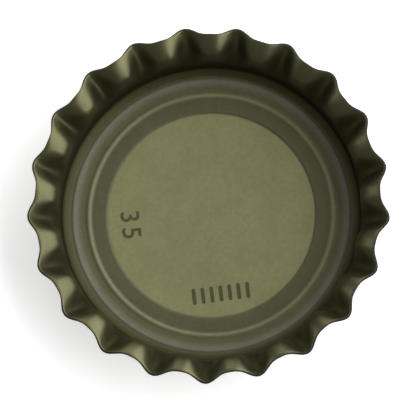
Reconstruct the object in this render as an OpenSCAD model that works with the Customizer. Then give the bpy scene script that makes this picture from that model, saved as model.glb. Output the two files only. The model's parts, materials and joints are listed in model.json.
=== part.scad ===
// Crown bottle cap, unused: a pressed and fluted tinplate shell with a moulded sealing liner.
// The cap lies on its flat panel with its mouth up. Z = 0 is the panel's outer face.

/* [Crown] */
// Diameter over the flute tips at the rim
crown_d = 32.1; // [30:0.1:39]
// Height from the panel's outer face to the top of the rim
crown_h = 6.0; // [5:0.1:7.5]
// Inside diameter of the straight collar, which slides over the bottle's finish
inside_d = 26.75; // [22:0.05:28]
// Thickness of the tinplate sheet
sheet_t = 0.24; // [0.16:0.005:0.32]
// Outside radius of the corner between the panel and the collar
corner_r = 1.7; // [1.2:0.05:2.2]
// Height of the straight collar above the corner
collar_h = 0.25; // [0.2:0.05:0.8]

/* [Flutes] */
// Number of flutes around the skirt
flute_count = 21; // [12:1:27]
// Depth of the flutes at the rim, from tip to valley
flute_depth = 0.77; // [0.4:0.01:1.1]
// How much lower the rim is at a flute tip than at a valley
tip_drop = 0.4; // [0:0.05:0.8]
// How far up the skirt the valleys start to flare, as a share of its height
valley_foot_share = 0.62; // [0.3:0.01:0.7]
// How far the wall climbs while it bends into its flare, as a share of the skirt's height
bend_share = 0.33; // [0.1:0.01:0.45]
// How narrow the flutes are where they start, 1 for as wide as the valleys
root_narrowness = 2.8; // [1:0.1:3.5]
// How narrow the flutes are at the rim, 1 for as wide as the valleys
rim_narrowness = 1.16; // [1:0.02:2]
// How late on their way up the flutes widen, 1 for evenly
widening = 2; // [1:0.1:3]

/* [Liner] */
// Thickness of the film over the middle of the panel
film_t = 0.2; // [0.1:0.01:0.3]
// Thickness of the raised band around the film
band_t = 0.32; // [0.22:0.01:0.42]
// Distance from the collar's inside wall in to the band's inner edge
band_inset = 4.18; // [3.7:0.02:5]
// Height of the narrow sealing ridge above the panel
ridge_h = 0.46; // [0.43:0.01:0.8]
// Width of the narrow ridge at its foot
ridge_w = 0.75; // [0.5:0.01:0.9]
// Distance from the collar's inside wall in to the ridge's middle
ridge_inset = 2.46; // [2.3:0.01:2.8]
// Width of the groove between the ridge and the bead
groove_w = 0.04; // [0.02:0.01:0.3]
// Height of the broad sealing bead's crest above the panel
bead_h = 0.42; // [0.4:0.01:0.8]
// Distance from the collar's inside wall in to the bead's crest
bead_inset = 1.1; // [1.05:0.01:1.3]
// Width over which the bead passes from its crest into the hem
bead_fall = 0.36; // [0.2:0.01:0.45]
// Thickness of the hem where it leaves the bead
hem_t = 0.26; // [0.1:0.01:0.35]
// Thickness of the hem at its end
hem_end_t = 0.05; // [0.02:0.01:0.1]
// How far the hem climbs up the corner from the panel
hem_h = 0.8; // [0.6:0.05:0.9]

/* [Hidden] */

$fn = 168;

steps_per_flute = 12;
flare_steps = 8;
// The skirt's first ring lies just above the collar, at this share of the climb
first_climb = 0.014;
// The skirt's root is sunk into the end of the collar by this much, and is this much thinner a side
root_lap = 0.05;
root_inset = 0.02;
// Width of the step from the film to the band, and how far the liner's section overruns the corner
step_w = 0.24;
overrun = 0.2;

inside_r = inside_d / 2;
mid_r = inside_r + sheet_t / 2;
corner_mid_r = inside_r + sheet_t - corner_r;
collar_top = corner_r + collar_h;
skirt_h = crown_h - collar_top;
valley_foot = skirt_h * valley_foot_share;
bend_h = skirt_h * bend_share;

// Run of a wall that bends from upright into a flare of slope 1 over the height bend_h
function flare_run(rise) =
    rise <= 0 ? 0 : rise < bend_h ? rise * rise / (2 * bend_h) : rise - bend_h / 2;

// Angle from upright at which a wall leaves the collar to gain so much radius in so much height
function flare_lean(gain, rise) = atan2(gain, flare_run(rise));

// The middle of the sheet at the rim, set back so that the outer edge reaches the stated size
tip_lean = flare_lean(crown_d / 2 - sheet_t / 2 - mid_r, skirt_h - tip_drop);
valley_lean = flare_lean(crown_d / 2 - flute_depth - sheet_t / 2 - mid_r, skirt_h - valley_foot);
tip_rim_r = crown_d / 2 - sheet_t / 2 * cos(tip_lean);
valley_rim_r = crown_d / 2 - flute_depth - sheet_t / 2 * cos(valley_lean);
valley_rim_z = crown_h - sheet_t / 2 * sin(valley_lean);
tip_rim_z = valley_rim_z - tip_drop;

function tip_r(z) = mid_r + (tip_rim_r - mid_r)
    * flare_run(z - collar_top) / flare_run(tip_rim_z - collar_top);
function valley_r(z) = mid_r + (valley_rim_r - mid_r)
    * flare_run(z - collar_top - valley_foot) / flare_run(valley_rim_z - collar_top - valley_foot);

// 1 on a flute's tip and 0 in a valley, with the flute widening from its root to the rim
function tipness(turn, climb) = pow(
    (1 + cos(flute_count * turn)) / 2,
    root_narrowness + (rim_narrowness - root_narrowness) * pow(climb, widening));

// The middle of the sheet at an angle and at a share of the climb from the collar to the rim
function skirt_mid(turn, climb) =
    let (rim_z = valley_rim_z - tip_drop * tipness(turn, 1))
    let (z = collar_top + (rim_z - collar_top) * climb)
    let (r = valley_r(z) + (tip_r(z) - valley_r(z)) * tipness(turn, climb))
    [r * cos(turn), r * sin(turn), z];

// Outward normal of the sheet there, from two short steps over it
function skirt_normal(turn, climb) =
    let (step = 0.001)
    let (across = skirt_mid(turn + step, climb) - skirt_mid(turn - step, climb))
    let (up = skirt_mid(turn, climb + step) - skirt_mid(turn, climb - step))
    let (n = cross(across, up))
    n / norm(n);

// A point on one face of the sheet: side is 1 for the outer face and -1 for the inner
function skirt_point(turn, climb, side) =
    skirt_mid(turn, climb) + side * sheet_t / 2 * skirt_normal(turn, climb);

// A ring of points at one climb
function skirt_ring(climb, side) = [
    for (i = [0 : flute_count * steps_per_flute - 1])
        skirt_point(i * 360 / (flute_count * steps_per_flute), climb, side)
];

// A thinner ring inside the end of the collar
function root_ring(side) = [
    for (i = [0 : flute_count * steps_per_flute - 1])
        let (turn = i * 360 / (flute_count * steps_per_flute))
        let (r = mid_r + side * (sheet_t / 2 - root_inset))
        [r * cos(turn), r * sin(turn), collar_top - root_lap]
];

// Even steps from one value to another
function spread(first, last, steps) = [for (k = [0 : steps]) first + (last - first) * k / steps];

// The panel, the corner and the collar, as a section to be turned
module cup_section() {
    square([corner_mid_r, sheet_t]);
    translate([corner_mid_r, corner_r]) intersection() {
        difference() {
            circle(corner_r);
            circle(corner_r - sheet_t);
        }
        translate([0, -corner_r]) square(corner_r);
    }
    translate([inside_r, corner_r]) square([sheet_t, collar_h]);
}

// The fluted skirt: rings of points up the inner face, over the rim and down the outer face
module fluted_skirt() {
    climbs = spread(first_climb, 1, flare_steps);
    rings = concat(
        [root_ring(-1)],
        [for (c = climbs) skirt_ring(c, -1)],
        [for (k = [len(climbs) - 1 : -1 : 0]) skirt_ring(climbs[k], 1)],
        [root_ring(1)]
    );
    across = flute_count * steps_per_flute;
    around = len(rings);
    function at(ring, i) = (ring % around) * across + i % across;
    polyhedron(
        points = [for (ring = rings) for (p = ring) p],
        faces = [
            for (ring = [0 : around - 1]) for (i = [0 : across - 1])
                for (half = [0, 1]) half == 0
                    ? [at(ring, i), at(ring, i + 1), at(ring + 1, i + 1)]
                    : [at(ring, i), at(ring + 1, i + 1), at(ring + 1, i)]
        ]
    );
}

module crown_shell() {
    color("darkkhaki") union() {
        rotate_extrude() cup_section();
        fluted_skirt();
    }
}

// The space inside the shell, from the panel up to the end of the corner
module cup_inside_section() {
    translate([0, sheet_t]) square([corner_mid_r, corner_r - sheet_t]);
    translate([corner_mid_r, corner_r]) intersection() {
        circle(corner_r - sheet_t);
        translate([0, -corner_r]) square(corner_r);
    }
}

// The places of the liner's forms along the radius
corner_inner_r = corner_r - sheet_t;
band_r = inside_r - band_inset;
ridge_r = inside_r - ridge_inset;
bead_r = inside_r - bead_inset;
bead_foot_r = ridge_r + ridge_w / 2 + groove_w;
hem_r = corner_mid_r + sqrt(pow(corner_inner_r, 2) - pow(corner_inner_r - hem_h, 2));

// A share held between 0 and 1, and the same with both ends eased
function held(share) = min(max(share, 0), 1);
function eased(share) = let (s = held(share)) s * s * (3 - 2 * s);

// Height above the panel of the corner's inside face
function corner_climb(r) =
    r <= corner_mid_r ? 0 : corner_inner_r - sqrt(pow(corner_inner_r, 2) - pow(r - corner_mid_r, 2));

// Height above the panel of the band with its ridge, of the hem, and of the liner's whole top
function ridged_band(r) =
    film_t + (band_t - film_t) * eased((r - band_r) / step_w)
    + (ridge_h - band_t) * (1 + cos(180 * min(abs(r - ridge_r) * 2 / ridge_w, 1))) / 2;
function hem_top(r) =
    corner_climb(r) + hem_t + (hem_end_t - hem_t) * held(corner_climb(r) / hem_h);
function liner_top(r) =
    let (band = ridged_band(r))
    let (bead = band + (bead_h - band) * pow(held((r - bead_foot_r) / (bead_r - bead_foot_r)), 2))
    bead + (hem_top(r) - bead) * eased((r - bead_r) / bead_fall);

// The liner's top, drawn from the middle to the hem and carried out through the corner
module liner_section() {
    radii = concat(
        [0],
        spread(band_r, band_r + step_w, 3),
        spread(ridge_r - ridge_w / 2, ridge_r + ridge_w / 2, 10),
        spread(bead_foot_r, bead_r, 7),
        spread(bead_r + bead_fall / 4, bead_r + bead_fall, 3),
        spread(bead_r + bead_fall + (hem_r - bead_r - bead_fall) / 6, hem_r, 5)
    );
    translate([0, sheet_t]) polygon(concat(
        [for (r = radii) [r, liner_top(r)]],
        [[hem_r + overrun, liner_top(hem_r)], [hem_r + overrun, 0], [0, 0]]
    ));
}

module sealing_liner() {
    color([0.55, 0.55, 0.45, 0.6]) rotate_extrude() intersection() {
        liner_section();
        cup_inside_section();
    }
}

crown_shell();
sealing_liner();
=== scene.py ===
"""An unused crown bottle cap, lying mouth up: a fluted tinplate shell with a moulded sealing liner.

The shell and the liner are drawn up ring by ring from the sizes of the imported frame, and each
stands for one node of it. All pieces are drawn in millimetres and brought to metres at the end.
Sizes are in millimetres and angles in degrees, unless a docstring says otherwise.
"""

import json
import logging
import math
from collections.abc import Callable
from dataclasses import dataclass
from enum import Enum

import bmesh
import bpy
from mathutils import Color, Matrix, Vector


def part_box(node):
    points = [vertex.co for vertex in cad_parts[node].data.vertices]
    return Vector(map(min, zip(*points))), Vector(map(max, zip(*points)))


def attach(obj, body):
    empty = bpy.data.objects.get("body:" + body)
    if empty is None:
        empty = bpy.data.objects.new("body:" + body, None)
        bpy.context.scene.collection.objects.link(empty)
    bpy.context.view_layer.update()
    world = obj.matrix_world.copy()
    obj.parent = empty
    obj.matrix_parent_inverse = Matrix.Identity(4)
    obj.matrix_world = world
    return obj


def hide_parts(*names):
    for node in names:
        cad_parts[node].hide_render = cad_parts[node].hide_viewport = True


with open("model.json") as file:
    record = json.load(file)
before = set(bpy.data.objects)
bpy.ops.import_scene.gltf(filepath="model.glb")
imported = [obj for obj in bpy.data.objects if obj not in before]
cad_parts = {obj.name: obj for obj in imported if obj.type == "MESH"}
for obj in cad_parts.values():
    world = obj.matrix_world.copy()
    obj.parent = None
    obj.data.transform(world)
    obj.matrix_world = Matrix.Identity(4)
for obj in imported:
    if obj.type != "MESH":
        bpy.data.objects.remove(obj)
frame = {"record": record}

log = logging.getLogger("crown_cap")

MM = 0.001
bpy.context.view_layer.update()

Colour = tuple[float, float, float]
Feed = float | Colour | bpy.types.NodeSocket
RingPlace = Callable[[float], Vector]

FULL_BYTE = 255
WHITE: Colour = (1.0, 1.0, 1.0)


class SheetFace(Enum):
    """Faces of the pressed sheet, each with a finish of its own, by material slot."""

    OUTSIDE = 0
    INSIDE = 1
    CUT_EDGE = 2


class Sum(Enum):
    """Sums that a maths node does."""

    ADD = "ADD"
    SUBTRACT = "SUBTRACT"
    MULTIPLY = "MULTIPLY"
    DIVIDE = "DIVIDE"
    MAXIMUM = "MAXIMUM"


class Pick(Enum):
    """What edit mode picks."""

    VERTS = "VERT"
    EDGES = "EDGE"


def linear(red: int, green: int, blue: int) -> Colour:
    """Turn a screen's colour, with parts from 0 to 255, into the linear values that shaders take."""
    seen = Color((red / FULL_BYTE, green / FULL_BYTE, blue / FULL_BYTE))
    return tuple(seen.from_srgb_to_scene_linear())


def held(share: float) -> float:
    """Hold a share between 0 and 1."""
    return min(max(share, 0.0), 1.0)


def smooth_step(share: float) -> float:
    """Ease a share from 0 to 1, flat at both ends and beyond them."""
    share = held(share)
    return share * share * (3 - 2 * share)


def dome(offset: float, half_width: float) -> float:
    """Height of a round-topped ridge of height 1, with soft feet, at an offset from its middle."""
    return (1 + math.cos(math.pi * min(abs(offset) / half_width, 1.0))) / 2


@dataclass(frozen=True)
class CrownSizes:
    """Sizes of the cap; those without a value here come from the frame.

    The flutes are a little narrower on one side of the rim, keen_side, and a little deeper on
    another, deep_side, both as angles about the cap's axis.
    """

    crown_r: float
    crown_h: float
    inside_r: float
    sheet: float
    corner_r: float
    collar_top: float
    flute_count: int = 21
    flute_depth: float = 0.77
    tip_drop: float = 0.4
    valley_foot_share: float = 0.62
    bend_share: float = 0.33
    root_narrowness: float = 2.8
    rim_narrowness: float = 1.04
    widening: float = 2.0
    keen_side: float = 318.0
    keen_gain: float = 0.12
    deep_side: float = 300.0
    deep_gain: float = 0.11

    @classmethod
    def from_frame(cls) -> "CrownSizes":
        """Read the sizes from the two nodes' boxes and from the collar's mount.

        Returns:
            The cap's sizes.
        """
        _, shell_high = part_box("crown_shell")
        liner_low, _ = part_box("sealing_liner")
        seat = next(m for m in frame["record"]["mounts"] if m["name"] == "bottle_finish_seat")
        middle, half = seat["pos_m"][2] / MM, seat["dims"]["length_mm"] / 2
        return cls(
            crown_r=shell_high[0] / MM,
            crown_h=shell_high[2] / MM,
            inside_r=seat["dims"]["r_mm"],
            sheet=liner_low[2] / MM,
            corner_r=middle - half,
            collar_top=middle + half,
        )

    @property
    def skirt_h(self) -> float:
        """Height of the fluted skirt above the collar."""
        return self.crown_h - self.collar_top

    @property
    def valley_foot(self) -> float:
        """Height above the collar at which the valleys start to flare."""
        return self.skirt_h * self.valley_foot_share

    @property
    def bend_h(self) -> float:
        """Height over which the wall bends into its flare."""
        return self.skirt_h * self.bend_share

    @property
    def mid_r(self) -> float:
        """Radius of the middle of the sheet on the collar."""
        return self.inside_r + self.sheet / 2

    @property
    def corner_mid_r(self) -> float:
        """Radius at which the flat panel turns into the corner."""
        return self.inside_r + self.sheet - self.corner_r


class FlutedWall:
    """The middle surface of the fluted skirt, from the collar up to the rim."""

    def __init__(self, sizes: CrownSizes) -> None:
        """Work out where the rim lies at a tip and in a valley.

        Args:
            sizes: The cap's sizes.
        """
        self.sizes = sizes
        half = sizes.sheet / 2
        self.tip_start = sizes.collar_top
        self.valley_start = sizes.collar_top + sizes.valley_foot
        tip_gain = sizes.crown_r - half - sizes.mid_r
        valley_gain = tip_gain - sizes.flute_depth
        tip_lean = math.atan2(tip_gain, self.flare_run(sizes.crown_h - sizes.tip_drop - self.tip_start))
        valley_lean = math.atan2(valley_gain, self.flare_run(sizes.crown_h - self.valley_start))
        self.tip_rim_r = sizes.crown_r - half * math.cos(tip_lean)
        self.valley_rim_r = sizes.crown_r - sizes.flute_depth - half * math.cos(valley_lean)
        self.valley_rim_z = sizes.crown_h - half * math.sin(valley_lean)
        self.tip_rim_z = self.valley_rim_z - sizes.tip_drop

    def flare_run(self, rise: float) -> float:
        """Run of a wall that bends from upright into a flare of slope 1.

        Args:
            rise: Height above the place where the wall starts to bend.

        Returns:
            How far the wall has moved out there.
        """
        bend = self.sizes.bend_h
        if rise <= 0:
            return 0.0
        return rise * rise / (2 * bend) if rise < bend else rise - bend / 2

    def flare(self, z: float, start: float, rim_r: float, rim_z: float) -> float:
        """Radius at a height of a wall that flares from the collar to a given rim."""
        share = self.flare_run(z - start) / self.flare_run(rim_z - start)
        return self.sizes.mid_r + (rim_r - self.sizes.mid_r) * share

    def tipness(self, turn: float, climb: float) -> float:
        """Say how far an angle lies towards a flute's tip.

        Args:
            turn: Angle about the cap's axis, in radians.
            climb: Share of the way from the collar to the rim.

        Returns:
            A share, 0 in a valley and 1 on a tip.
        """
        sizes = self.sizes
        rim = sizes.rim_narrowness + sizes.keen_gain * math.cos(turn - math.radians(sizes.keen_side))
        narrow = sizes.root_narrowness + (rim - sizes.root_narrowness) * climb ** sizes.widening
        return ((1 + math.cos(sizes.flute_count * turn)) / 2) ** narrow

    def place(self, turn: float, climb: float) -> Vector:
        """Find a point of the middle surface.

        Args:
            turn: Angle about the cap's axis, in radians.
            climb: Share of the way from the collar to the rim.

        Returns:
            The point, in millimetres.
        """
        sizes = self.sizes
        rim_z = self.valley_rim_z - sizes.tip_drop * self.tipness(turn, 1.0)
        z = sizes.collar_top + (rim_z - sizes.collar_top) * climb
        tip = self.flare(z, self.tip_start, self.tip_rim_r, self.tip_rim_z)
        deeper = sizes.flute_depth * sizes.deep_gain * math.cos(turn - math.radians(sizes.deep_side))
        valley = self.flare(z, self.valley_start, self.valley_rim_r - deeper, self.valley_rim_z)
        r = valley + (tip - valley) * self.tipness(turn, climb)
        return Vector((r * math.cos(turn), r * math.sin(turn), z))


def deselect_all() -> None:
    """Deselect every object, since an operator acts on all that is selected."""
    bpy.ops.object.select_all(action="DESELECT")


def select_only(piece: bpy.types.Object) -> None:
    """Select one object and make it active.

    Args:
        piece: The object.
    """
    deselect_all()
    piece.select_set(True)
    bpy.context.view_layer.objects.active = piece


def start_editing(pick: Pick, selected: bool) -> None:
    """Enter edit mode on the active object.

    Args:
        pick: What edit mode picks.
        selected: Whether all of the mesh starts selected, or nothing.
    """
    bpy.ops.object.mode_set(mode="EDIT")
    bpy.ops.mesh.select_mode(type=pick.value)
    bpy.ops.mesh.select_all(action="SELECT" if selected else "DESELECT")


def stop_editing() -> None:
    """Leave edit mode."""
    bpy.ops.object.mode_set(mode="OBJECT")


def apply_place(turned: bool = False, scaled: bool = False) -> None:
    """Put the selected objects' place, and if asked their turn and scale, into their meshes."""
    bpy.ops.object.transform_apply(location=True, rotation=turned, scale=scaled)


def to_metres(piece: bpy.types.Object) -> None:
    """Scale a piece that was drawn in millimetres down to metres.

    Args:
        piece: The piece, with its place in its mesh.
    """
    select_only(piece)
    piece.scale = (MM, MM, MM)
    apply_place(scaled=True)


def apply_modifier(piece: bpy.types.Object, kind: str, **settings: object) -> None:
    """Add a modifier with its settings and apply it.

    Args:
        piece: The piece to change.
        kind: The modifier's type, such as BEVEL.
        settings: The modifier's settings, by name.
    """
    select_only(piece)
    modifier = piece.modifiers.new(kind.title(), kind)
    for name, value in settings.items():
        setattr(modifier, name, value)
    bpy.ops.object.modifier_apply(modifier=modifier.name)


def smooth(piece: bpy.types.Object, angle_deg: float) -> None:
    """Shade a piece smooth, with edges sharper than the angle left crisp."""
    select_only(piece)
    bpy.ops.object.shade_smooth_by_angle(angle=math.radians(angle_deg))


class RingDrawing:
    """A round mesh drawn one ring at a time with edit-mode extrudes, in millimetres."""

    def __init__(self, name: str, columns: int, radius: float, height: float) -> None:
        """Start from a filled disc of the given radius, with its outer edge selected.

        Args:
            name: Name of the piece.
            columns: Number of points on each ring.
            radius: Radius of the first ring.
            height: Height of the first ring.
        """
        deselect_all()
        bpy.ops.mesh.primitive_circle_add(
            vertices=columns, radius=radius, fill_type="TRIFAN", location=(0, 0, height))
        self.radius, self.height = radius, height
        self.piece = bpy.context.object
        self.piece.name = self.piece.data.name = name
        apply_place()
        start_editing(Pick.EDGES, selected=False)
        bpy.ops.mesh.select_non_manifold()

    def draw_round(self, radius: float, height: float) -> None:
        """Extrude the open edge to a plain ring.

        Args:
            radius: Radius of the new ring.
            height: Height of the new ring.
        """
        bpy.ops.mesh.extrude_region_move(
            TRANSFORM_OT_translate={"value": (0.0, 0.0, height - self.height)})
        growth = radius / self.radius
        bpy.ops.transform.resize(value=(growth, growth, 1.0), center_override=(0.0, 0.0, height))
        self.radius, self.height = radius, height

    def draw_shaped(self, place: RingPlace) -> None:
        """Extrude the open edge and lay each point of the new ring by its angle.

        Args:
            place: Gives the place of the point at an angle about the axis.
        """
        bpy.ops.mesh.extrude_region_move()
        mesh = bmesh.from_edit_mesh(self.piece.data)
        for vert in mesh.verts:
            if vert.select:
                vert.co = place(math.atan2(vert.co.y, vert.co.x))
        bmesh.update_edit_mesh(self.piece.data)

    def close(self) -> None:
        """Close the open edge to a point at its middle."""
        bpy.ops.mesh.extrude_region_move()
        bpy.ops.mesh.merge(type="CENTER")

    def finish(self) -> bpy.types.Object:
        """Turn all faces outwards and leave edit mode.

        Returns:
            The drawn piece.
        """
        bpy.ops.mesh.select_all(action="SELECT")
        bpy.ops.mesh.normals_make_consistent(inside=False)
        stop_editing()
        return self.piece


class NodeSheet:
    """Places the nodes of one tree and links them."""

    def __init__(self, tree: bpy.types.NodeTree) -> None:
        """Start on a tree, which is emptied first."""
        self.tree = tree
        tree.nodes.clear()

    def add(self, kind: str, settings: dict[str, object] | None = None, **inputs: Feed) -> bpy.types.Node:
        """Add a node, set its properties, and set or link its inputs.

        Args:
            kind: The node's type.
            settings: Properties of the node, by name.
            inputs: Values, or sockets to link from, by input name with _ for a space.

        Returns:
            The new node.
        """
        node = self.tree.nodes.new(kind)
        for name, value in (settings or {}).items():
            setattr(node, name, value)
        for name, value in inputs.items():
            self.feed(node.inputs[name.replace("_", " ")], value)
        return node

    def feed(self, socket: bpy.types.NodeSocket, value: Feed) -> None:
        """Link a socket from another, or set its own value.

        Args:
            socket: The input socket.
            value: The socket to link from, or the value to set.
        """
        if isinstance(value, bpy.types.NodeSocket):
            self.tree.links.new(value, socket)
        elif isinstance(value, tuple) and socket.type == "RGBA":
            socket.default_value = (*value, 1.0)
        else:
            socket.default_value = value

    def place_group(self, name: str, **inputs: Feed) -> bpy.types.Node:
        """Place a shared group with its own values."""
        return self.add("ShaderNodeGroup", {"node_tree": bpy.data.node_groups[name]}, **inputs)

    def object_place(self) -> bpy.types.NodeOutputs:
        """Split the place of a point on the piece into its X, Y and Z sockets."""
        coords = self.add("ShaderNodeTexCoord")
        return self.add("ShaderNodeSeparateXYZ", Vector=coords.outputs["Object"]).outputs

    def mix_colour(self, share: Feed, first: Feed, second: Feed) -> bpy.types.NodeSocket:
        """Mix two colours.

        Args:
            share: How much of the second colour there is.
            first: The first colour.
            second: The second colour.

        Returns:
            The mixed colour's socket.
        """
        node = self.add("ShaderNodeMix", {"data_type": "RGBA"}, Factor=share)
        sockets = (s for s in node.inputs if s.type == "RGBA")
        for socket, colour in zip(sockets, (first, second)):
            self.feed(socket, colour)
        return next(s for s in node.outputs if s.type == "RGBA")

    def scale_colour(self, colour: Feed, shade: Feed) -> bpy.types.NodeSocket:
        """Lighten or darken a colour.

        Args:
            colour: The colour.
            shade: The factor, 1 to leave it as it is.

        Returns:
            The new colour's socket.
        """
        node = self.add("ShaderNodeVectorMath", {"operation": "SCALE"}, Scale=shade)
        self.feed(node.inputs[0], colour)
        return node.outputs["Vector"]

    def ramp(self, value: Feed, low: Feed, high: Feed, to_low: float = 0.0,
             to_high: float = 1.0) -> bpy.types.NodeSocket:
        """Map a value from one range to another, held at both ends.

        Args:
            value: The value to map.
            low: Where the range starts.
            high: Where it ends.
            to_low: The result at its start.
            to_high: The result at its end.

        Returns:
            The result's socket.
        """
        node = self.add("ShaderNodeMapRange", {"clamp": True}, Value=value, From_Min=low,
                        From_Max=high, To_Min=to_low, To_Max=to_high)
        return node.outputs["Result"]

    def maths(self, kind: Sum, first: Feed, second: Feed) -> bpy.types.NodeSocket:
        """Do one sum.

        Args:
            kind: Which sum.
            first: The first value.
            second: The second value.

        Returns:
            The result's socket.
        """
        node = self.add("ShaderNodeMath", {"operation": kind.value})
        self.feed(node.inputs[0], first)
        self.feed(node.inputs[1], second)
        return node.outputs[0]


class NodeGroup:
    """A shader node group with number sockets."""

    def __init__(self, name: str, inputs: dict[str, float], output: str) -> None:
        """Make the group with its sockets.

        Args:
            name: The group's name.
            inputs: The default of each input, by name.
            output: The name of the one output.
        """
        group = bpy.data.node_groups.new(name, "ShaderNodeTree")
        for label, default in inputs.items():
            socket = group.interface.new_socket(label, in_out="INPUT", socket_type="NodeSocketFloat")
            socket.default_value = default
        group.interface.new_socket(output, in_out="OUTPUT", socket_type="NodeSocketFloat")
        self.sheet = NodeSheet(group)
        self.sent = self.sheet.add("NodeGroupInput").outputs

    def put_out(self, value: bpy.types.NodeSocket) -> None:
        """Link the group's output from a socket inside it."""
        self.sheet.feed(self.sheet.add("NodeGroupOutput").inputs[0], value)


def build_mottle_group() -> None:
    """Make the group for uneven clouds, such as a lacquer or a moulding shows.

    The mask is the noise, drawn out from its middle tone. The softer the clouds, the wider the
    range of tones that it keeps.
    """
    middle, widest = 0.5, 0.4
    group = NodeGroup("Mottle", {"Scale": 400.0, "Softness": 0.5}, "Mask")
    sheet, sent = group.sheet, group.sent
    coords = sheet.add("ShaderNodeTexCoord")
    noise = sheet.add("ShaderNodeTexNoise", Vector=coords.outputs["Object"], Scale=sent["Scale"],
                      Detail=4.0, Roughness=0.55)
    reach = sheet.maths(Sum.MULTIPLY, sent["Softness"], widest)
    low, high = (sheet.maths(kind, middle, reach) for kind in (Sum.SUBTRACT, Sum.ADD))
    group.put_out(sheet.ramp(noise.outputs["Fac"], low, high))


def build_grain_group() -> None:
    """Make the group for fine streaks along one way, as rolled sheet has."""
    group = NodeGroup("Rolled grain", {"Scale": 3000.0, "Stretch": 12.0}, "Height")
    sheet, sent = group.sheet, group.sent
    place = sheet.object_place()
    along = sheet.maths(Sum.DIVIDE, place["Y"], sent["Stretch"])
    drawn_out = sheet.add("ShaderNodeCombineXYZ", X=place["X"], Y=along, Z=place["Z"])
    noise = sheet.add("ShaderNodeTexNoise", Vector=drawn_out.outputs["Vector"], Scale=sent["Scale"],
                      Detail=3.0, Roughness=0.6)
    group.put_out(noise.outputs["Fac"])


class Finish:
    """A material under way, with its node sheet."""

    def __init__(self, name: str) -> None:
        """Make the material with an empty sheet.

        Args:
            name: The material's name.
        """
        self.material = bpy.data.materials.new(name)
        self.material.use_nodes = True
        self.sheet = NodeSheet(self.material.node_tree)

    def mottle(self, scale: float, softness: float) -> bpy.types.NodeSocket:
        """Place the mottle and return its mask."""
        return self.sheet.place_group("Mottle", Scale=scale, Softness=softness).outputs["Mask"]

    def shade(self, **inputs: Feed) -> bpy.types.Material:
        """Place the Principled shader, fed by input name, and return the finished material."""
        shader = self.sheet.add("ShaderNodeBsdfPrincipled", **inputs)
        return self.output(shader.outputs["BSDF"])

    def output(self, surface: bpy.types.NodeSocket) -> bpy.types.Material:
        """Link a surface to the material's output and return the material."""
        self.sheet.add("ShaderNodeOutputMaterial", Surface=surface)
        return self.material


@dataclass(frozen=True)
class PaintedDepthShade:
    """Painted shade and light: a lacquer made darker deep in the cap and lighter at the rim, by height.

    The painted shade climbs from foot to wall between foot_z and wall_z, and on to rim between
    lip_z and rim_z; where it rises above 1 it is painted light.
    """

    foot_z: float
    wall_z: float
    lip_z: float
    rim_z: float
    foot: float = 0.51
    wall: float = 0.96
    rim: float = 1.12

    def mask(self, sheet: NodeSheet) -> bpy.types.NodeSocket:
        """Lay the painted shade out over the height.

        Args:
            sheet: The material's node sheet.

        Returns:
            The socket of the painted shade, 1 for the lacquer's own colour.
        """
        height = sheet.object_place()["Z"]
        climb = sheet.ramp(height, self.foot_z * MM, self.wall_z * MM, self.foot, self.wall)
        lip = sheet.ramp(height, self.lip_z * MM, self.rim_z * MM, 0.0, self.rim - self.wall)
        return sheet.maths(Sum.ADD, climb, lip)


@dataclass(frozen=True)
class GoldLacquer:
    """Olive-gold lacquer baked on tinplate: satin, faintly mottled, with the sheet's grain.

    Its roughness follows the grain over the heights of grain_range. Where a shade by height is
    given, it paints shade deep in the cap and light at the rim into the colour.
    """

    name: str
    # A shade by height: painted shade deep in the cap and painted light at the rim.
    painted_depth_shade: PaintedDepthShade | None = None
    light: Colour = linear(95, 94, 67)
    dark: Colour = linear(85, 84, 60)
    metallic: float = 0.9
    roughness: tuple[float, float] = (0.32, 0.41)
    grain_range: tuple[float, float] = (0.3, 0.7)
    grain_strength: float = 0.12
    grain_depth: float = 0.01

    def make(self) -> bpy.types.Material:
        """Build the material.

        Returns:
            The material.
        """
        finish = Finish(self.name)
        sheet = finish.sheet
        colour = sheet.mix_colour(finish.mottle(scale=260.0, softness=0.5), self.dark, self.light)
        # Painted shade and light: the colour darkened deep in the cap and lightened at the rim.
        if self.painted_depth_shade:
            colour = sheet.scale_colour(colour, self.painted_depth_shade.mask(sheet))
        grain = sheet.place_group("Rolled grain", Scale=2600.0, Stretch=14.0).outputs["Height"]
        bump = sheet.add(
            "ShaderNodeBump", Strength=self.grain_strength, Distance=self.grain_depth * MM, Height=grain)
        rough = sheet.ramp(grain, *self.grain_range, *self.roughness)
        return finish.shade(Base_Color=colour, Metallic=self.metallic, Roughness=rough,
                            Normal=bump.outputs["Normal"])


@dataclass(frozen=True)
class CutEdgePaintedShade:
    """Steel at the blanked edge of the sheet, painted near black: painted shade along the rim."""

    # Near-black tones stand in for shade, so the rim shows no lit edge.
    light: Colour = linear(34, 33, 27)
    dark: Colour = linear(20, 20, 16)
    roughness: float = 0.6
    gloss: float = 0.25

    def make(self) -> bpy.types.Material:
        """Build the material.

        Returns:
            The material.
        """
        finish = Finish("cut_edge_painted_shade")
        mottle = finish.mottle(scale=1500.0, softness=0.8)
        return finish.shade(Base_Color=finish.sheet.mix_colour(mottle, self.dark, self.light),
                            Roughness=self.roughness, Specular_IOR_Level=self.gloss)


@dataclass(frozen=True)
class OliveInk:
    """Dull dark ink of the marks in the panel, a little worn."""

    colour: Colour = linear(69, 68, 46)
    wear: float = 1.25
    roughness: float = 0.55
    gloss: float = 0.2

    def make(self) -> bpy.types.Material:
        """Build the material.

        Returns:
            The material.
        """
        finish = Finish("olive_ink")
        worn = tuple(self.wear * c for c in self.colour)
        mottle = finish.mottle(scale=3000.0, softness=0.4)
        return finish.shade(Base_Color=finish.sheet.mix_colour(mottle, self.colour, worn),
                            Roughness=self.roughness, Specular_IOR_Level=self.gloss)


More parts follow.
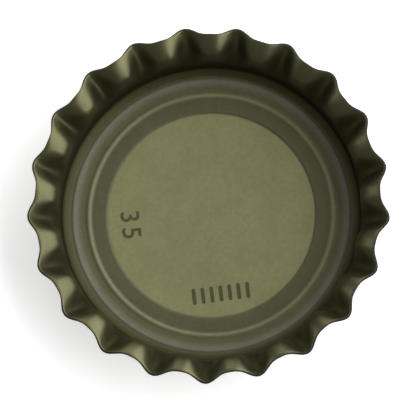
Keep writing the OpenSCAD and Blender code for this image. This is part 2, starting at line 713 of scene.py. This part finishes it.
@dataclass(frozen=True)
class PaleFloor:
    """Matt pale floor that looks white, keeps the cap's shadow and is clear from below.

    Its lift is the glow on top of its lit colour, for the camera and in mirrored or clear surfaces.
    """

    colour: Colour = (0.95, 0.95, 0.95)
    roughness: float = 0.9
    lift: float = 0.45

    def make(self) -> bpy.types.Material:
        """Build the material.

        Returns:
            The material.
        """
        finish = Finish("pale_floor")
        sheet = finish.sheet
        matt = sheet.add("ShaderNodeBsdfPrincipled", Base_Color=self.colour, Roughness=self.roughness)
        rays = sheet.add("ShaderNodeLightPath").outputs
        seen = sheet.maths(Sum.MAXIMUM, rays["Is Camera Ray"], rays["Is Glossy Ray"])
        seen = sheet.maths(Sum.MAXIMUM, seen, rays["Is Transmission Ray"])
        glow = sheet.add(
            "ShaderNodeEmission", Color=WHITE, Strength=sheet.maths(Sum.MULTIPLY, seen, self.lift))
        lit, sided = sheet.add("ShaderNodeAddShader"), sheet.add("ShaderNodeMixShader")
        sheet.feed(lit.inputs[0], matt.outputs["BSDF"])
        sheet.feed(lit.inputs[1], glow.outputs["Emission"])
        sheet.feed(sided.inputs[0], sheet.add("ShaderNodeNewGeometry").outputs["Backfacing"])
        sheet.feed(sided.inputs[1], lit.outputs["Shader"])
        sheet.feed(sided.inputs[2], sheet.add("ShaderNodeBsdfTransparent").outputs["BSDF"])
        return finish.output(sided.outputs["Shader"])


class LinerForm(Enum):
    """Forms of the liner that its tones are laid out from."""

    STEP = "step"
    RIDGE = "ridge"
    BEAD = "bead"
    HEM_END = "hem end"


class LinerTone(Enum):
    """Colours of the compound: gold as a thin film, greyer and darker where it is thick, and some
    with painted light and shade, as marked.
    """

    FILM = linear(122, 121, 87)
    # Lighter at the film's edge: painted light against the walls' shade.
    FILM_EDGE = linear(128, 127, 90)
    BAND = linear(86, 85, 62)
    # Partly the compound's tone, partly a painted highlight on the ridge.
    RIDGE = linear(121, 119, 89)
    GROOVE = linear(93, 92, 65)
    # Grey-blue: partly the thick compound's tone, partly the lamp's highlight painted in.
    RING = linear(110, 110, 95)
    # Lighter beyond the bead: painted light over the shade of the crease there.
    SHOULDER = linear(88, 86, 61)
    # Darker up the corner: partly the lacquer under the thin hem, partly painted shade.
    HEM = linear(63, 61, 32)
    # Darkest at the hem's end by the wall: painted shade.
    HEM_END = linear(55, 53, 28)


@dataclass(frozen=True)
class ToneStop:
    """A tone at a distance out from one of the liner's forms."""

    form: LinerForm
    out: float
    tone: LinerTone


@dataclass(frozen=True)
class LinerCompound:
    """Translucent sealing compound, toned along its radius, with soft clouds and fine specks; some
    of the tones carry painted light and shade.

    The lacquer shines through the thin hem, as a share of metal, hem_metal, which grows from
    hem_start to hem_full, both measured out from the bead's crest.
    """

    hem_metal: float = 0.12
    hem_start: float = 0.1
    hem_full: float = 0.45
    clouds: tuple[float, float] = (0.96, 1.04)
    specks: tuple[float, float] = (0.95, 1.05)
    roughness: float = 0.42
    gloss: float = 0.15
    stops: tuple[ToneStop, ...] = (
        ToneStop(LinerForm.STEP, -3.68, LinerTone.FILM),
        ToneStop(LinerForm.STEP, -0.06, LinerTone.FILM_EDGE),
        ToneStop(LinerForm.STEP, 0.1, LinerTone.BAND),
        ToneStop(LinerForm.RIDGE, -0.3, LinerTone.BAND),
        ToneStop(LinerForm.RIDGE, -0.08, LinerTone.RIDGE),
        ToneStop(LinerForm.RIDGE, 0.1, LinerTone.RIDGE),
        ToneStop(LinerForm.RIDGE, 0.38, LinerTone.GROOVE),
        ToneStop(LinerForm.BEAD, -0.7, LinerTone.GROOVE),
        ToneStop(LinerForm.BEAD, -0.25, LinerTone.RING),
        ToneStop(LinerForm.BEAD, 0.02, LinerTone.RING),
        ToneStop(LinerForm.BEAD, 0.24, LinerTone.SHOULDER),
        ToneStop(LinerForm.BEAD, 0.42, LinerTone.HEM),
        ToneStop(LinerForm.HEM_END, 0.0, LinerTone.HEM_END),
    )

    def make(self, liner: "SealingLiner") -> bpy.types.Material:
        """Build the material.

        Args:
            liner: The liner, whose radii say where each tone lies.

        Returns:
            The material.
        """
        finish = Finish("liner_compound")
        sheet = finish.sheet
        place = sheet.object_place()
        flat = sheet.add("ShaderNodeCombineXYZ", X=place["X"], Y=place["Y"])
        length = sheet.add("ShaderNodeVectorMath", {"operation": "LENGTH"})
        sheet.feed(length.inputs[0], flat.outputs["Vector"])
        radius = length.outputs["Value"]
        # Tones by radius, some of which are painted light and shade.
        tones = sheet.add(
            "ShaderNodeValToRGB", Fac=sheet.maths(Sum.DIVIDE, radius, liner.sizes.inside_r * MM))
        self.set_stops(tones.color_ramp, liner)
        shade = sheet.maths(
            Sum.MULTIPLY,
            sheet.ramp(finish.mottle(scale=420.0, softness=0.3), 0.0, 1.0, *self.clouds),
            sheet.ramp(finish.mottle(scale=3200.0, softness=0.3), 0.0, 1.0, *self.specks))
        bead_r = liner.radius(LinerForm.BEAD)
        metal = sheet.ramp(
            radius, (bead_r + self.hem_start) * MM, (bead_r + self.hem_full) * MM, 0.0, self.hem_metal)
        return finish.shade(
            Base_Color=sheet.scale_colour(tones.outputs["Color"], shade), Metallic=metal,
            Roughness=self.roughness, Specular_IOR_Level=self.gloss)

    def set_stops(self, ramp: bpy.types.ColorRamp, liner: "SealingLiner") -> None:
        """Lay the tones out along the radius.

        Args:
            ramp: The colour ramp, over the share of the collar's inside radius.
            liner: The liner, whose forms the stops are measured from.
        """
        while len(ramp.elements) < len(self.stops):
            ramp.elements.new(1.0)
        for element, stop in zip(ramp.elements, self.stops):
            element.position = (liner.radius(stop.form) + stop.out) / liner.sizes.inside_r
            element.color = (*stop.tone.value, 1.0)


@dataclass
class CrownShell:
    """The pressed tinplate shell: panel, corner, collar and fluted skirt.

    The rings of the skirt lie closer together at its foot, by a power, ring_crowding. The inside
    lacquer's painted shade lightens at three shares of the skirt's height, given as its shade climbs.
    """

    sizes: CrownSizes
    columns_per_flute: int = 20
    panel_rings: int = 6
    corner_rings: int = 14
    skirt_rings: int = 30
    ring_crowding: float = 1.2
    edge_round: float = 0.03
    edge_segments: int = 2
    edge_angle: float = 60.0
    crisp_angle: float = 40.0
    # Shares of the skirt's height where the inside lacquer's painted shade turns.
    painted_shade_climbs: tuple[float, float, float] = (0.28, 0.6, 0.86)

    def build(self) -> bpy.types.Object:
        """Draw the sheet's middle surface up and give it its thickness.

        Returns:
            The finished shell.
        """
        shell = self.draw_sheet()
        self.add_finishes(shell)
        apply_modifier(
            shell, "SOLIDIFY", thickness=self.sizes.sheet, offset=0.0, use_even_offset=True,
            use_quality_normals=True, material_offset=SheetFace.INSIDE.value,
            material_offset_rim=SheetFace.CUT_EDGE.value)
        apply_modifier(
            shell, "BEVEL", width=self.edge_round, segments=self.edge_segments,
            limit_method="ANGLE", angle_limit=math.radians(self.edge_angle))
        to_metres(shell)
        smooth(shell, self.crisp_angle)
        return shell

    def draw_sheet(self) -> bpy.types.Object:
        """Draw the panel, the corner and the skirt as a sheet without thickness.

        Returns:
            The sheet, in millimetres.
        """
        sizes, mid_z = self.sizes, self.sizes.sheet / 2
        step = sizes.corner_mid_r / (self.panel_rings + 1)
        columns = sizes.flute_count * self.columns_per_flute
        drawing = RingDrawing("fluted_shell", columns, step, mid_z)
        for ring in range(2, self.panel_rings + 2):
            drawing.draw_round(step * ring, mid_z)
        bend_r = sizes.corner_r - mid_z
        for ring in range(1, self.corner_rings + 1):
            turn = math.pi / 2 * ring / self.corner_rings
            drawing.draw_round(
                sizes.corner_mid_r + bend_r * math.sin(turn), sizes.corner_r - bend_r * math.cos(turn))
        wall = FlutedWall(sizes)
        for ring in range(self.skirt_rings + 1):
            climb = (ring / self.skirt_rings) ** self.ring_crowding
            drawing.draw_shaped(lambda turn: wall.place(turn, climb))
        return drawing.finish()

    def add_finishes(self, shell: bpy.types.Object) -> None:
        """Give the shell its lacquer outside and inside, and its cut edge.

        Args:
            shell: The shell, still a sheet without thickness.
        """
        sizes = self.sizes
        foot, wall, lip = (sizes.collar_top + sizes.skirt_h * climb for climb in self.painted_shade_climbs)
        # The inside lacquer gets painted shade deep in the cap and painted light at its rim.
        inside = PaintedDepthShade(foot_z=foot, wall_z=wall, lip_z=lip, rim_z=sizes.crown_h)
        finishes = {
            SheetFace.OUTSIDE: GoldLacquer("outside_lacquer"),
            SheetFace.INSIDE: GoldLacquer("inside_lacquer_painted_shade", inside),
            # The cut edge is painted near black, as shade.
            SheetFace.CUT_EDGE: CutEdgePaintedShade(),
        }
        for face in SheetFace:
            shell.data.materials.append(finishes[face].make())


@dataclass
class SealingLiner:
    """The compound moulded in the shell: film, band, narrow ridge, broad bead and a hem up the corner.

    Its rings lie 1 mm apart on the film and close together over its forms, which start just
    inside the step to the band.
    """

    sizes: CrownSizes
    columns: int = 252
    film_t: float = 0.2
    band_t: float = 0.32
    band_inset: float = 4.18
    step_w: float = 0.24
    ridge_h: float = 0.46
    ridge_w: float = 0.75
    ridge_inset: float = 2.46
    groove_w: float = 0.04
    bead_h: float = 0.42
    bead_inset: float = 1.1
    bead_fall: float = 0.36
    hem_t: float = 0.26
    hem_end_t: float = 0.05
    hem_h: float = 0.8
    seat_gap: float = 0.004
    pole_r: float = 1.5
    film_rings: int = 7
    form_rings: int = 120
    form_lead: float = 0.1
    seat_rings: int = 24
    crisp_angle: float = 50.0

    def radius(self, form: LinerForm) -> float:
        """Find the radius of one of the liner's forms.

        Args:
            form: The form.

        Returns:
            Its radius in millimetres.
        """
        if form is LinerForm.HEM_END:
            bend_r = self.sizes.corner_r - self.sizes.sheet
            return self.sizes.corner_mid_r + math.sqrt(bend_r ** 2 - (bend_r - self.hem_h) ** 2)
        insets = {
            LinerForm.STEP: self.band_inset,
            LinerForm.RIDGE: self.ridge_inset,
            LinerForm.BEAD: self.bead_inset,
        }
        return self.sizes.inside_r - insets[form]

    def top(self, r: float) -> float:
        """Height of the liner's top above the panel.

        Args:
            r: Radius at which it is asked.

        Returns:
            The height in millimetres.
        """
        step_r, ridge_r, bead_r = (
            self.radius(form) for form in (LinerForm.STEP, LinerForm.RIDGE, LinerForm.BEAD))
        height = self.film_t + (self.band_t - self.film_t) * smooth_step((r - step_r) / self.step_w)
        height += (self.ridge_h - self.band_t) * dome(r - ridge_r, self.ridge_w / 2)
        foot_r = ridge_r + self.ridge_w / 2 + self.groove_w
        height += (self.bead_h - height) * held((r - foot_r) / (bead_r - foot_r)) ** 2
        climb = self.seat(r) - self.sizes.sheet
        hem = climb + self.hem_t + (self.hem_end_t - self.hem_t) * held(climb / self.hem_h)
        return height + (hem - height) * smooth_step((r - bead_r) / self.bead_fall)

    def seat(self, r: float) -> float:
        """Height of the liner's underside, just off the shell's inner face.

        Args:
            r: Radius at which it is asked.

        Returns:
            The height in millimetres.
        """
        sizes = self.sizes
        out = r - sizes.corner_mid_r
        if out <= 0:
            return sizes.sheet + self.seat_gap
        bend_r = sizes.corner_r - sizes.sheet - self.seat_gap
        return sizes.corner_r - math.sqrt(max(bend_r * bend_r - out * out, 0.0))

    def build(self) -> bpy.types.Object:
        """Draw the liner's top out to the corner and its underside back to the middle.

        Returns:
            The finished liner.
        """
        sheet, hem_r, flat_r = self.sizes.sheet, self.radius(LinerForm.HEM_END), self.sizes.corner_mid_r
        drawing = RingDrawing("ridged_liner", self.columns, self.pole_r, sheet + self.top(0.0))
        form_r = self.radius(LinerForm.STEP) - self.form_lead
        radii = [self.pole_r + ring for ring in range(1, self.film_rings + 1)]
        radii += [form_r + (hem_r - form_r) * k / self.form_rings for k in range(self.form_rings)]
        for r in radii:
            drawing.draw_round(r, sheet + self.top(r))
        for ring in range(self.seat_rings + 1):
            r = hem_r - (hem_r - flat_r) * ring / self.seat_rings
            drawing.draw_round(r, self.seat(r))
        drawing.draw_round(flat_r / 2, self.seat(0.0))
        drawing.close()
        liner = drawing.finish()
        to_metres(liner)
        smooth(liner, self.crisp_angle)
        return liner

    def dress(self, liner: bpy.types.Object) -> None:
        """Give the liner its compound."""
        liner.data.materials.append(LinerCompound().make(self))


@dataclass
class PanelMarks:
    """Small marks on the panel: a plain number and a row of plain strokes, feet outwards.

    The number's lines are thickened by number_weight before it is brought to its height, and
    stroke_end_round is a share of the stroke's width.
    """

    panel_z: float
    ink_t: float = 0.012
    number: str = "35"
    number_h: float = 1.7
    number_angle: float = 174.5
    number_r: float = 7.3
    number_weight: float = 0.008
    number_spacing: float = 1.25
    weld: float = 0.0001
    stroke_count: int = 7
    stroke_w: float = 0.34
    stroke_h: float = 1.45
    stroke_pitch: float = 0.8
    stroke_end_round: float = 0.42
    stroke_segments: int = 4
    strokes_angle: float = 264.9
    strokes_r: float = 7.15

    def build_number(self) -> bpy.types.Object:
        """Write the number as a thin solid.

        Returns:
            The number, in metres.
        """
        deselect_all()
        bpy.ops.object.text_add()
        text = bpy.context.object
        text.data.body = self.number
        text.data.align_x, text.data.align_y = "CENTER", "CENTER"
        text.data.extrude = self.ink_t / 2
        text.data.offset = self.number_weight
        text.data.space_character = self.number_spacing
        bpy.ops.object.convert(target="MESH")
        start_editing(Pick.VERTS, selected=True)
        bpy.ops.mesh.remove_doubles(threshold=self.weld)
        bpy.ops.mesh.normals_make_consistent(inside=False)
        stop_editing()
        growth = self.number_h / bpy.context.object.dimensions.y
        bpy.ops.transform.resize(value=(growth, growth, 1.0))
        apply_place(scaled=True)
        return self.place(bpy.context.object, "number_mark", self.number_angle, self.number_r)

    def build_strokes(self) -> bpy.types.Object:
        """Draw one stroke with round ends, copy it along the row and join the row.

        Returns:
            The row of strokes, as one thin mesh.
        """
        deselect_all()
        row_w = (self.stroke_count - 1) * self.stroke_pitch
        bpy.ops.mesh.primitive_cube_add(size=1.0, location=(-row_w / 2, 0, 0), scale=(
            self.stroke_w, self.stroke_h, self.ink_t))
        apply_place(scaled=True)
        strokes = [bpy.context.object]
        self.round_ends(strokes[0])
        while len(strokes) < self.stroke_count:
            select_only(strokes[-1])
            bpy.ops.object.duplicate(linked=False)
            bpy.ops.transform.translate(value=(self.stroke_pitch, 0.0, 0.0))
            strokes.append(bpy.context.object)
        deselect_all()
        for stroke in strokes:
            stroke.select_set(True)
        bpy.context.view_layer.objects.active = strokes[0]
        bpy.ops.object.join()
        return self.place(strokes[0], "stroke_marks", self.strokes_angle, self.strokes_r)

    def round_ends(self, stroke: bpy.types.Object) -> None:
        """Bevel the four short upright edges of a stroke.

        Args:
            stroke: The stroke, a thin box.
        """
        select_only(stroke)
        start_editing(Pick.EDGES, selected=False)
        mesh = bmesh.from_edit_mesh(stroke.data)
        for edge in mesh.edges:
            low, high = sorted(vert.co.z for vert in edge.verts)
            edge.select_set(high - low > self.ink_t / 2)
        bmesh.update_edit_mesh(stroke.data)
        bpy.ops.mesh.bevel(
            offset=self.stroke_w * self.stroke_end_round, segments=self.stroke_segments,
            affect="EDGES")
        stop_editing()

    def place(self, piece: bpy.types.Object, name: str, angle_deg: float, r: float) -> bpy.types.Object:
        """Turn a mark so that its feet point outwards and lay it on the panel.

        Args:
            piece: The mark, drawn upright about the origin.
            name: Its name.
            angle_deg: Where it lies about the axis.
            r: How far from the axis it lies.

        Returns:
            The placed mark, in metres.
        """
        piece.name = piece.data.name = name
        turn = math.radians(angle_deg)
        select_only(piece)
        piece.rotation_euler = (0, 0, turn + math.pi / 2)
        piece.location = (r * math.cos(turn), r * math.sin(turn), self.panel_z + self.ink_t / 2)
        apply_place(turned=True)
        to_metres(piece)
        return piece

    def dress(self, marks: tuple[bpy.types.Object, ...]) -> None:
        """Give all marks the same ink.

        Args:
            marks: The marks.
        """
        ink = OliveInk().make()
        for mark in marks:
            mark.data.materials.clear()
            mark.data.materials.append(ink)


def way_out(azimuth_deg: float, elevation_deg: float) -> Vector:
    """Find the direction from the cap out to a place in the studio.

    Args:
        azimuth_deg: Turn about the cap's axis, 0 before the cap and 90 to its right.
        elevation_deg: Angle above the floor.

    Returns:
        The direction, of length 1.
    """
    azimuth, elevation = math.radians(azimuth_deg), math.radians(elevation_deg)
    flat = math.cos(elevation)
    return Vector((math.sin(azimuth) * flat, -math.cos(azimuth) * flat, math.sin(elevation)))


@dataclass(frozen=True)
class SoftLamp:
    """One soft lamp that faces the cap, with its size and distance in metres."""

    name: str
    azimuth_deg: float
    elevation_deg: float
    size: tuple[float, float]
    watts: float
    distance: float = 0.5

    def hang(self) -> None:
        """Make the lamp and hang it in its place."""
        out = way_out(self.azimuth_deg, self.elevation_deg)
        light = bpy.data.lights.new(self.name, "AREA")
        light.shape = "RECTANGLE"
        light.size, light.size_y = self.size
        light.energy = self.watts
        lamp = bpy.data.objects.new(self.name, light)
        lamp.location = out * self.distance
        lamp.rotation_euler = (-out).to_track_quat("-Z", "Y").to_euler()
        bpy.context.scene.collection.objects.link(lamp)


@dataclass(frozen=True)
class Studio:
    """Plain pale floor, soft light and the camera.

    The floor lies floor_gap under the cap. The camera shows the middle of the panel's underside
    at centre_px, in pixels from the picture's top left corner. Its distance, the nearest and the
    furthest that it sees, and the floor's width are in metres.
    """

    frame_px: tuple[int, int] = (416, 412)
    centre_px: tuple[float, float] = (211.5, 216.0)
    px_per_mm: float = 11.22
    azimuth_deg: float = 3.0
    elevation_deg: float = 78.4
    roll_deg: float = 12.0
    camera_distance: float = 0.45
    sensor_w: float = 36.0
    sight: tuple[float, float] = (0.01, 10.0)
    floor_w: float = 4.0
    floor_gap: float = 0.02
    world_strength: float = 0.29
    lamps: tuple[SoftLamp, ...] = (
        SoftLamp("key", azimuth_deg=91, elevation_deg=37, size=(1.25, 0.5), watts=5.6),
        SoftLamp("fill", azimuth_deg=178, elevation_deg=30, size=(0.25, 0.25), watts=0.3),
        SoftLamp("rim", azimuth_deg=240, elevation_deg=36, size=(0.25, 0.25), watts=0.22),
    )

    def build(self) -> None:
        """Make the floor, the world, the lamps and the camera."""
        self.build_floor()
        self.build_world()
        for lamp in self.lamps:
            lamp.hang()
        self.build_camera()

    def build_floor(self) -> None:
        """Lay a wide pale floor just under the cap."""
        deselect_all()
        bpy.ops.mesh.primitive_plane_add(size=self.floor_w, location=(0, 0, -self.floor_gap * MM))
        floor = bpy.context.object
        floor.name = "floor"
        apply_place()
        floor.data.materials.append(PaleFloor().make())

    def build_world(self) -> None:
        """Give plain even light from all round."""
        world = bpy.data.worlds.new("studio")
        bpy.context.scene.world = world
        world.use_nodes = True
        sheet = NodeSheet(world.node_tree)
        glow = sheet.add("ShaderNodeBackground", Color=WHITE, Strength=self.world_strength)
        sheet.add("ShaderNodeOutputWorld", Surface=glow.outputs["Background"])

    def build_camera(self) -> None:
        """Look down on the cap from a little off its axis, turned about the line of sight."""
        data = bpy.data.cameras.new("camera")
        camera = bpy.data.objects.new("camera", data)
        bpy.context.scene.collection.objects.link(camera)
        bpy.context.scene.camera = camera
        (width, height), (centre_x, centre_y) = self.frame_px, self.centre_px
        px = MM / self.px_per_mm
        data.sensor_width = self.sensor_w
        data.lens = self.sensor_w * self.camera_distance / (width * px)
        data.clip_start, data.clip_end = self.sight
        back, roll = way_out(self.azimuth_deg, self.elevation_deg), math.radians(self.roll_deg)
        right = Vector((math.sin(roll), math.cos(roll), 0.0)).cross(back).normalized()
        up = back.cross(right)
        aim = (right * (width / 2 - centre_x) + up * (centre_y - height / 2)) * px
        camera.location = aim + back * self.camera_distance
        camera.rotation_mode = "QUATERNION"
        camera.rotation_quaternion = Matrix((right, up, back)).transposed().to_quaternion()


def main() -> None:
    """Build the cap and its studio, and report each piece."""
    logging.basicConfig(level=logging.INFO, format="%(message)s")
    build_mottle_group()
    build_grain_group()
    sizes = CrownSizes.from_frame()
    log.info("sizes: %s", sizes)

    shell = CrownShell(sizes).build()
    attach(shell, "root")
    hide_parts("crown_shell")
    log.info("%s: %d faces", shell.name, len(shell.data.polygons))

    liner_maker = SealingLiner(sizes)
    liner = liner_maker.build()
    liner_maker.dress(liner)
    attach(liner, "root")
    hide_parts("sealing_liner")
    log.info("%s: %d faces", liner.name, len(liner.data.polygons))

    marks_maker = PanelMarks(panel_z=sizes.sheet + liner_maker.film_t)
    marks = (marks_maker.build_number(), marks_maker.build_strokes())
    marks_maker.dress(marks)
    for mark in marks:
        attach(mark, "root")
        log.info("%s: %d faces", mark.name, len(mark.data.polygons))

    Studio().build()
    bpy.context.scene.view_settings.view_transform = "Standard"


if __name__ == "__main__":
    main()
